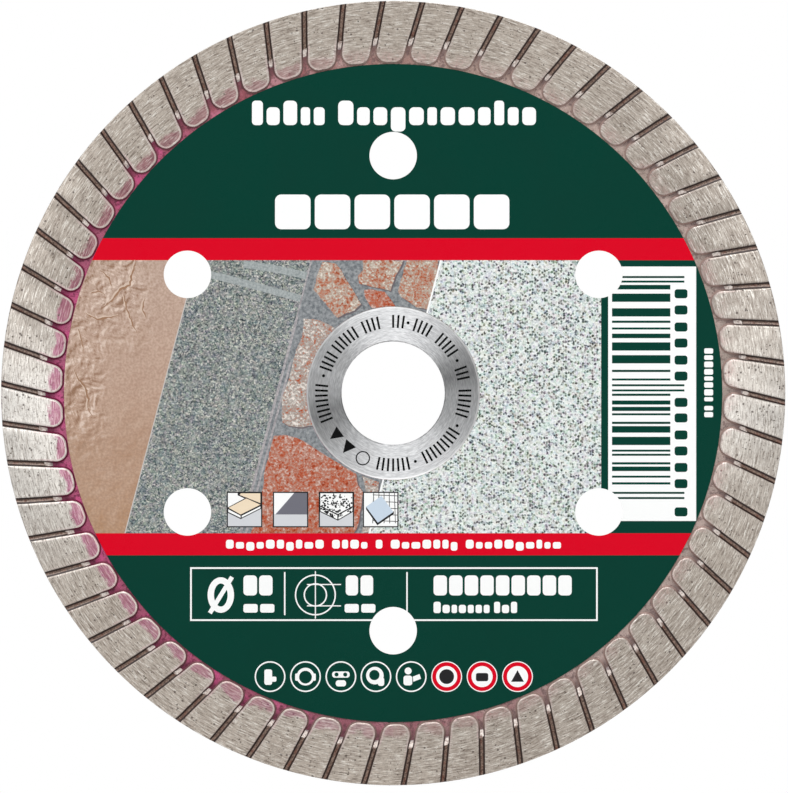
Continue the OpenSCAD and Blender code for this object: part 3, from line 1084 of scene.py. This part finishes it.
# Broken stones of the paving: look, how ragged, outline
STONES = (
    ("tan_stone", 0.12, [
        (-6.9, 12.7), (-5.6, 12.6), (-4.9, 11.7), (-4.1, 10.3), (-3.1, 8.6), (-3.8, 8.0), (-5.4, 7.3),
        (-6.0, 8.0), (-6.9, 9.05), (-7.7, 9.95), (-7.4, 11.2)]),
    ("tan_stone", 0.12, [
        (-2.95, 12.86), (0.99, 12.86), (0.27, 11.4), (-0.26, 9.95), (-1.7, 10.2), (-3.3, 10.6), (-3.4, 11.4),
        (-2.95, 11.9)]),
    ("orange_stone", 0.08, [
        (-2.8, 10.0), (-2.05, 10.05), (-0.8, 9.8), (-0.1, 8.9), (0.27, 8.3), (-2.05, 8.2), (-2.7, 9.2)]),
    ("tan_stone", 0.12, [
        (1.35, 12.86), (4.4, 12.86), (4.04, 10.7), (3.4, 8.07), (2.4, 8.3), (0.8, 9.3), (0.45, 9.95),
        (0.99, 11.6)]),
    ("pale_stone", 0.12, [
        (-8.64, 7.22), (-7.7, 7.18), (-6.5, 6.84), (-5.7, 6.3), (-5, 4.5), (-6, 0), (-7, -3), (-8.23, -3.2),
        (-9.28, -3.31), (-10.1, -3.16), (-10.75, -2.79), (-10.77, -0.48), (-10.07, 1.5), (-9.77, 2.88),
        (-9.37, 4.16), (-8.78, 5.65)]),
    ("orange_stone", 0.12, [
        (-11.6, -4.15), (-10.5, -4.05), (-9.28, -4.36), (-8.23, -4.89), (-6.76, -5.94), (-5.5, -6.67),
        (-3.61, -7.82), (-3.4, -8.88), (-2.98, -9.61), (-3.09, -11.18), (-3.4, -12.76), (-3.82, -13.56),
        (-13.79, -13.56), (-13.1, -11.18), (-12.7, -9.61), (-12.3, -6.98), (-11.9, -5.41)]),
    ("pale_stone", 0.06, [
        (-3.0, -8.0), (-1.4, -8.6), (-1.5, -10.6), (-2.4, -13.5), (-3.0, -13.5), (-2.7, -11.2),
        (-2.6, -9.6)]),
)


def picture(art):
    """Building stones: sandstone, grey granite, paving and white granite, with slanted borders."""
    low, high = PICTURE_LOW, PICTURE_HIGH
    art.add("sandstone", [(-SIDE_X, low), slanted(GRANITE_X, low), slanted(GRANITE_X, high), (-SIDE_X, high)])
    for n, (width, places) in enumerate(CRACKS):
        art.add("crack_light", stroke([(x - 0.12, y + 0.1) for x, y in places], width, n))
        art.add("crack_dark", stroke(places, width * 0.8, n + 20))
    art.add("granite", slant_strip(GRANITE_X, -10.83))
    art.add("hairline", slant_strip(GRANITE_X - 0.06, GRANITE_X + 0.04))
    for edge in ([(-18.2, 11.95), (-14.9, 11.15), (-11.95, 10.35), (-8.2, 9.3)],
                 [(-14.4, 12.86), (-10.96, 12.3), (-7.6, 11.55)]):
        art.add("granite_light", edge + [(x - 0.12, y - 0.68) for x, y in reversed(edge)])
    art.add("joints", slant_strip(PAVING_X, WHITE_X))
    art.add("kerb", slant_strip(PAVING_X - 0.05, -11.2), slant_strip(PAVING_X - 0.05, -11.1, high=7.4),
            slant_strip(-10.8, -10.6, high=3.0))
    for n, (_, _, outline) in enumerate(STONES):
        art.add("shadow", ragged([(x + 0.13, y - 0.13) for x, y in outline], n + 1))
    for n, (look, amount, outline) in enumerate(STONES):
        art.add(look, ragged(outline, n + 1, amount))
    art.add("white_granite", [slanted(WHITE_X, low), (WHITE_END, low), (WHITE_END, high),
                              slanted(WHITE_X, high)])
    art.add("white", slant_strip(WHITE_X - 0.09, WHITE_X + 0.09))


def pictograms(art):
    """Four small squares with plain views of slabs and tiles."""
    low, high = -12.94, -9.61
    squares = ((-16.06, -12.73), (-11.59, -8.28), (-7.15, -3.84), (-2.88, 0.46))
    for x0, x1 in squares:
        art.add("dark_line", rect(x0 - 0.06, low - 0.06, x1 + 0.06, high + 0.06))
        art.add("pale_grey", rect(x0 + 0.06, low + 0.06, x1 - 0.06, high - 0.06))
    planks, step, slab, tile = (x0 for x0, _ in squares)
    art.add("white", [(0.06, -9.67), (1.2, -9.67), (1.9, -10.1), (0.06, -11.1)], x=planks)
    art.add("dark_line", [(1.0, -9.67), (3.27, -9.67), (3.27, -10.9), (1.0, -9.9)], x=planks)
    art.add("beige", [(1.3, -9.7), (3.2, -9.7), (3.2, -10.65), (1.2, -9.86)], x=planks)
    art.add("dark_line", [(0.06, -11.05), (1.85, -10.1), (3.27, -10.75), (3.27, -11.2), (1.3, -12.2),
                          (0.06, -11.6)], x=planks)
    art.add("beige", [(0.12, -11.1), (1.85, -10.2), (3.2, -10.8), (1.3, -11.75)], x=planks)
    art.add("white", [(0.1, -11.25), (1.28, -11.87), (1.28, -12.07), (0.1, -11.5)],
            [(1.4, -11.87), (3.2, -10.97), (3.2, -11.14), (1.4, -12.05)], x=planks)
    art.add("white", [(0.06, -9.67), (2.0, -9.67), (0.2, -11.7), (0.06, -11.7)], x=step)
    art.add("mid_grey", [(2.0, -9.67), (3.25, -9.67), (3.25, -11.75), (0.2, -11.75)], x=step)
    art.add("dark_line", [(0.06, -9.67), (3.27, -9.67), (3.27, -11.5), (1.8, -12.35), (0.06, -11.5)], x=slab)
    art.add("white", [(0.1, -9.7), (3.2, -9.7), (3.2, -10.95), (1.8, -11.7), (0.1, -10.9)],
            [(0.12, -11.02), (1.74, -11.82), (1.74, -12.22), (0.12, -11.42)],
            [(1.86, -11.82), (3.2, -11.07), (3.2, -11.42), (1.86, -12.22)], x=slab)
    # Specks on the slab, which reaches furthest down at u = 1.8
    rng = random.Random(8)
    for k in range(170):
        u, v = rng.uniform(0.15, 3.15), rng.uniform(0.05, 2.5)
        if v > 1.65 + 0.85 * (u / 1.8 if u < 1.8 else (3.27 - u) / 1.47):
            continue
        size = rng.uniform(0.04, 0.12)
        art.add("dark_line", [(size * rng.uniform(0.6, 1.4) * math.cos(a), size * math.sin(a))
                              for a in (0.3, 1.6, 2.9, 4.0, 5.3)], x=slab + u, y=-9.72 - v)
    # Tile in front of a grid
    art.add("white", rect(0.06, -12.88, 3.28, -9.67), x=tile)
    for k in range(5):
        y = -9.95 - 0.62 * k
        across = line(0.9, y + 0.1, 3.28, y, 0.07)
        down = line(1.0 + 0.5 * k, -9.67, 0.9 + 0.55 * k, -12.6, 0.07)
        art.add("dark_line", across, down, x=tile)
    tile_edge = [(0.25, -11.0), (0.25, -11.25), (1.35, -12.8), (2.95, -11.7), (2.95, -11.45)]
    art.add("dark_line", tile_edge, x=tile)
    art.add("pale_blue", [(0.25, -11.0), (1.4, -12.55), (2.9, -11.5), (1.75, -9.95)], x=tile)


def bar_panel(art):
    """White panel with a stack of plain stripes and a column of small blocks."""
    left = 21.19
    art.add("white", rect(20.82, -12.38, 29.34, 12.26))
    rng = random.Random(12)
    for y in (11.24, 10.8, 0.76, 0.26, -9.66, -10.16):
        art.add("green", rect(left, y - 0.1, 28.2, y + 0.1))
    for high, low in ((10.48, 1.05), (-0.05, -9.4)):
        y = high
        while y > low + 0.2:
            thick = min(rng.choice((0.2, 0.22, 0.4, 0.44, 0.64, 0.8)), y - low)
            art.add("green", rect(left, y - thick, 26.84, y))
            y -= thick + rng.choice((0.2, 0.22, 0.4, 0.44, 0.62))
    for y in (9.62, 8.05, 6.4, 4.85, 3.2, 1.65, -0.9, -2.4, -4.05, -5.6, -7.2, -8.77, -11.5):
        art.add("green", round_rect(27.25, y - 0.44, 28.5, y + 0.44, 0.25))


def title_and_boxes(art):
    """White and red print on the green ground, with plain blocks wherever lettering stood."""
    greek(art, "white", -13.67, 13.83, 25.95, 27.68, 28.32, 0.62, 3)
    for k in range(6):
        x = -11.44 + k * 3.85
        art.add("white", round_rect(x, 15.87, x + 3.44, 19.23, 0.6, 6))
    greek(art, "white", -16.19, 16.25, -15.05, -14.42, -14.2, 0.2, 5,
          (0.5, 0.8), 0.2, 0.55, (10, 4, 1, 7, 10))
    # Frame with sizes
    x0, y0, x1, y1 = -19.66, -22.06, 19.81, -16.86
    art.add("white", rect(x0, y0, x1, y1))
    art.add("green", rect(x0 + 0.16, y0 + 0.16, x1 - 0.16, y1 - 0.16))
    art.add("white", rect(-10.57, -21.5, -10.43, -17.33), rect(1.27, -21.5, 1.41, -17.33))
    # Diameter sign
    art.add("white", oval(-16.69, -19.55, 1.28, 1.72))
    art.add("green", oval(-16.69, -19.55, 0.66, 1.12))
    art.add("white", line(-17.75, -21.3, -15.6, -17.8, 0.42))
    # Blocks in place of figures: high ones, and low ones in pairs
    low, middle, high, top = -21.25, -20.42, -19.59, -17.65
    blocks = [(-14.5, -13.18), (-12.98, -11.68), (-4.59, -3.4), (-3.16, -1.94)]
    row_start = 3.91
    for k in range(9):
        a = row_start + k * 1.51
        blocks.append((a, a + 1.3))
    for a, b in blocks:
        art.add("white", round_rect(a, high, b, top, 0.35))
    for a, b in ((-14.5, -11.5), (-4.7, -1.72)):
        half = (a + b) / 2
        art.add("white", round_rect(a, low, half - 0.12, middle, 0.2))
        art.add("white", round_rect(half + 0.12, low, b, middle, 0.2))
    greek(art, "white", row_start, 12.0, -21.3, -20.5, -20.2, 0.0, 6, (0.6, 0.85), 0.2, 0.3, (7, 3))
    # Bore sign: two rings and their measuring lines
    bore = {"x": -7.53, "y": -19.54}
    for region, radius in (("white", 1.99), ("green", 1.86), ("white", 1.14), ("green", 1.01)):
        art.add(region, disc(0, 0, radius), **bore)
    upright = rect(-0.05, -2.3, 0.05, 2.3)
    art.add("white", upright, rect(-0.82, 0.96, 2.48, 1.06), rect(-0.82, -1.11, 2.48, -1.01), **bore)
    # Vertical row on the right
    rng = random.Random(9)
    y = -2.33
    while y < 4.6:
        step = rng.uniform(0.4, 0.62)
        art.add("white", round_rect(30.12, y, 30.98, y + step, 0.14))
        y += step + (0.16 if rng.random() < 0.75 else 0.45)


# Places of the badges in their row, and the plain shapes inside
GREEN_BADGES = (
    (-11.92, ("white", round_rect(-0.55, -0.8, 0.2, 0.7, 0.2), round_rect(0.1, -0.5, 0.62, 0, 0.15))),
    (-8.49, ("white", disc(0, 0, 0.86), round_rect(-1.0, -0.4, -0.7, 0.3, 0.1),
             round_rect(0.7, -0.4, 1.0, 0.3, 0.1)),
     ("green", disc(0, -0.05, 0.62))),
    (-5.06, ("white", round_rect(-0.85, -0.1, 0.85, 0.5, 0.25), round_rect(-0.5, -0.95, 0.5, -0.35, 0.25)),
     ("green", disc(-0.42, 0.2, 0.2, 16), disc(0.42, 0.2, 0.2, 16))),
    (-1.67, ("white", disc(-0.1, 0.1, 0.85), round_rect(0.2, -0.9, 0.8, -0.1, 0.2)),
     ("green", disc(-0.15, 0.15, 0.5))),
    (1.75, ("white", disc(-0.3, 0.55, 0.34, 20), round_rect(-0.75, -0.85, 0.1, 0.1, 0.25),
            [(0.2, -0.5), (0.95, -0.2), (0.8, 0.25), (0.15, 0)])),
)
RED_BADGES = (
    (5.18, ("dark_line", disc(0, 0, 0.72, 24))),
    (8.61, ("dark_line", round_rect(-0.6, -0.45, 0.6, 0.35, 0.2))),
    (12.04, ("dark_line", [(-0.62, -0.5), (0.62, -0.5), (0, 0.62)])),
)
BADGE_Y = -27.45
# Discs under the shapes, largest first: colour, radius, steps
GREEN_DISCS = (("white", 1.49, 48), ("green", 1.36, 48))
RED_DISCS = (("white", 1.49, 48), ("red", 1.4, 48), ("white", 1.02, 40))


def badges(art):
    """Eight round badges with plain shapes inside."""
    for discs, row in ((GREEN_DISCS, GREEN_BADGES), (RED_DISCS, RED_BADGES)):
        for x, *parts in row:
            parts = [(region, disc(0, 0, radius, steps)) for region, radius, steps in discs] + parts
            for region, *outlines in parts:
                art.add(region, *outlines, x=x, y=BADGE_Y)


def build_label():
    art = Artwork()
    art.add("red", rect(-SIDE_X, PICTURE_HIGH, SIDE_X, BAND_HIGH))
    art.add("red", rect(-SIDE_X, BAND_LOW, SIDE_X, PICTURE_LOW))
    picture(art)
    pictograms(art)
    bar_panel(art)
    title_and_boxes(art)
    badges(art)
    holes = [disc(0, 0, SEAT_R + HUB_GAP, 160)]
    for i in range(6):
        a = math.radians(90 + i * 60)
        holes.append(disc(VENT_CIRCLE_R * math.cos(a), VENT_CIRCLE_R * math.sin(a), VENT_R, 72))
    points, regions = art.partition(disc(0, 0, LABEL_R, 360), holes)
    every = [cell for cells in regions.values() for cell in cells]
    # The film reaches a little way into the print, so that no gap opens between them
    film = plate(points, every, FILM_LOW, FILM_TOP - INK_T + INK_OVERLAP)
    add_object("label_film_base", film, print_material("film"), ["label_film"])
    for region, cells in sorted(regions.items()):
        ink = plate(points, cells, FILM_TOP - INK_T, FILM_TOP)
        add_object("label_" + region, ink, print_material(region))


# ---------------------------------------------------------------- assembly

def finish_cad_node(name, material):
    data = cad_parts[name].data
    data.materials.clear()
    data.materials.append(material)


def make_floor():
    bm = bmesh.new()
    bmesh.ops.create_grid(bm, x_segments=8, y_segments=8, size=1.2)
    for v in bm.verts:
        v.co.z = cad_low.z
    mesh = bpy.data.meshes.new("floor")
    bm.to_mesh(mesh)
    bm.free()
    s = Shader("floor")
    s.colour = s.mix(s.noise(s.place, 60, 3), grey(0.80), grey(0.84))
    # It thins out behind the blade and at the sides, so that low views show no horizon
    away = s.math("MAXIMUM", s.y, s.math("SUBTRACT", s.math("ABSOLUTE", s.x), 350))
    s.done(rough=0.7, specular=0.2, alpha=s.span(away, 120, 750, 1, 0, smooth=True))
    mesh.materials.append(s.material)
    floor = bpy.data.objects.new("floor", mesh)
    bpy.context.scene.collection.objects.link(floor)


make_camera()
make_world()
make_light("key", (-0.084, -1.19, 1.067), (0.5, 0.9), 19.2)
make_light("behind", (0.12, 0.5, 0.34), (0.4, 0.4), 1.6)
make_floor()
bpy.context.scene.view_settings.view_transform = "Standard"

MATERIALS = {"diamond": diamond_material()}
finish_cad_node("steel_core", steel_material())
finish_cad_node("foot_ring", foot_material())
finish_cad_node("lacquer_front", lacquer_material("lacquer_front"))
finish_cad_node("lacquer_back", lacquer_material("lacquer_back", 28.0))
finish_cad_node("label_adhesive", adhesive_material())
finish_cad_node("hub_marks", ink_material())
build_rim()
build_rib_grit("grit_front_crystals", FRONT_START, -1, ["grit_front"], 17)
build_rib_grit("grit_back_crystals", BACK_START, 1, ["grit_back"], 18)
build_edge_grit()
build_label()
